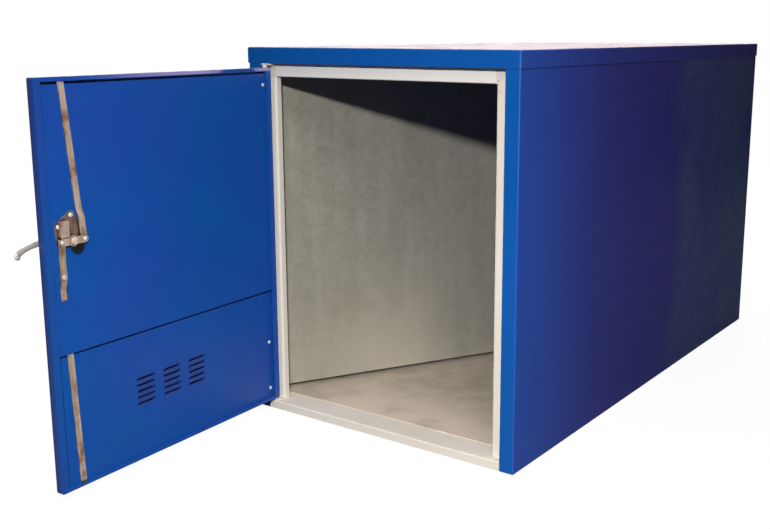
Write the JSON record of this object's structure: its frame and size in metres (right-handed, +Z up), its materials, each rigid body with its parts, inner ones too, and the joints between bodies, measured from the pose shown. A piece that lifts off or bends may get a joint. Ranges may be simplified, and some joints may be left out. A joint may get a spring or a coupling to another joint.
{
  "type": "bicycle locker",
  "caption": "Free-standing sheet-steel bicycle locker with a diagonal dividing wall and a hinged, rod-locked, louvred door at each end, the front one open.",
  "frame": {"origin": "middle of the footprint on the ground", "axes": "+Z up, +X to the right seen from the front door, +Y from the front door to the rear door"},
  "size_m": [1.016, 3.0063, 1.22],
  "materials": {
    "blue_coat": "satin powder coat",
    "cream_coat": "satin powder coat",
    "galvanized": "spangled galvanized steel sheet",
    "plated": "yellow-tinted zinc plating",
    "chrome": "satin chrome plating",
    "black": "black moulded cover"
  },
  "bodies": {
    "cabinet": {"roof_cap": "blue_coat", "right_side_panel": "blue_coat", "left_side_panel": "blue_coat", "floor_panel": "galvanized", "middle_bearer": "galvanized", "front_bearer": "galvanized", "rear_bearer": "galvanized", "dividing_wall": "galvanized", "front_header": "blue_coat", "front_hinge_jamb": "cream_coat", "front_lock_jamb": "cream_coat", "front_top_rail": "cream_coat", "front_sill": "cream_coat", "front_top_pivot": "cream_coat", "front_bottom_pivot": "cream_coat", "rear_header": "blue_coat", "rear_hinge_jamb": "cream_coat", "rear_lock_jamb": "cream_coat", "rear_top_rail": "cream_coat", "rear_sill": "cream_coat", "rear_top_pivot": "cream_coat", "rear_bottom_pivot": "cream_coat"},
    "front_door": {"front_door_skin": "blue_coat", "front_door_upper_liner": "blue_coat", "front_door_lower_liner": "blue_coat", "front_door_top_bush": "plated", "front_door_bottom_bush": "plated", "front_lock_mount": "plated", "front_lock_case": "plated", "front_lock_barrel": "black", "front_handle_rose": "chrome"},
    "front_handle": {"front_handle_lever": "chrome", "front_handle_spindle": "plated", "front_lock_cam": "plated"},
    "front_upper_rod": {"front_upper_rod": "plated"},
    "front_lower_link": {"front_lower_link": "plated"},
    "front_lower_rod": {"front_lower_rod": "plated"},
    "rear_door": {"rear_door_skin": "blue_coat", "rear_door_upper_liner": "blue_coat", "rear_door_lower_liner": "blue_coat", "rear_door_top_bush": "plated", "rear_door_bottom_bush": "plated", "rear_lock_mount": "plated", "rear_lock_case": "plated", "rear_lock_barrel": "black", "rear_handle_rose": "chrome"},
    "rear_handle": {"rear_handle_lever": "chrome", "rear_handle_spindle": "plated", "rear_lock_cam": "plated"},
    "rear_upper_rod": {"rear_upper_rod": "plated"},
    "rear_lower_link": {"rear_lower_link": "plated"},
    "rear_lower_rod": {"rear_lower_rod": "plated"}
  },
  "joints": [
    {"name": "front_door_hinge", "type": "hinge", "parent": "cabinet", "child": "front_door", "pos_m": [-0.444, -1.0057, 0.6], "axis": [0, 0, -1], "range_deg": [-87, 25]},
    {"name": "front_handle_turn", "type": "hinge", "parent": "front_door", "child": "front_handle", "pos_m": [-0.40968, -1.81351, 0.727], "axis": [0.9986, 0.0523, 0], "range_deg": [0, 90]},
    {"name": "front_upper_rod_pin", "type": "hinge", "parent": "front_handle", "child": "front_upper_rod", "pos_m": [-0.41161, -1.77656, 0.727], "axis": [0.9986, 0.0523, 0], "range_deg": [-94.9, 0]},
    {"name": "front_lower_link_pin", "type": "hinge", "parent": "front_handle", "child": "front_lower_link", "pos_m": [-0.40774, -1.85046, 0.727], "axis": [0.9986, 0.0523, 0], "range_deg": [-112.12, 0]},
    {"name": "front_lower_rod_slide", "type": "slide", "parent": "front_door", "child": "front_lower_rod", "axis": [-0.0023, 0.0436, -0.999], "range_m": [0, 0.03143]},
    {"name": "rear_door_hinge", "type": "hinge", "parent": "cabinet", "child": "rear_door", "pos_m": [0.444, 1.0057, 0.6], "axis": [0, 0, -1], "range_deg": [0, 112]},
    {"name": "rear_handle_turn", "type": "hinge", "parent": "rear_door", "child": "rear_handle", "pos_m": [-0.3645, 1.0137, 0.727], "axis": [0, -1, 0], "range_deg": [0, 90]},
    {"name": "rear_upper_rod_pin", "type": "hinge", "parent": "rear_handle", "child": "rear_upper_rod", "pos_m": [-0.3275, 1.0137, 0.727], "axis": [0, -1, 0], "range_deg": [-94.9, 0]},
    {"name": "rear_lower_link_pin", "type": "hinge", "parent": "rear_handle", "child": "rear_lower_link", "pos_m": [-0.4015, 1.0137, 0.727], "axis": [0, -1, 0], "range_deg": [-112.12, 0]},
    {"name": "rear_lower_rod_slide", "type": "slide", "parent": "rear_door", "child": "rear_lower_rod", "axis": [0.0437, 0, -0.999], "range_m": [0, 0.03143]}
  ],
  "couplings": [
    {"joint": "front_upper_rod_pin", "follows": "front_handle_turn", "ratio": -1.0544},
    {"joint": "front_lower_link_pin", "follows": "front_handle_turn", "ratio": -1.2458},
    {"joint": "front_lower_rod_slide", "follows": "front_handle_turn", "m_per_rad": 0.020011},
    {"joint": "rear_upper_rod_pin", "follows": "rear_handle_turn", "ratio": -1.0544},
    {"joint": "rear_lower_link_pin", "follows": "rear_handle_turn", "ratio": -1.2458},
    {"joint": "rear_lower_rod_slide", "follows": "rear_handle_turn", "m_per_rad": 0.020011}
  ]
}
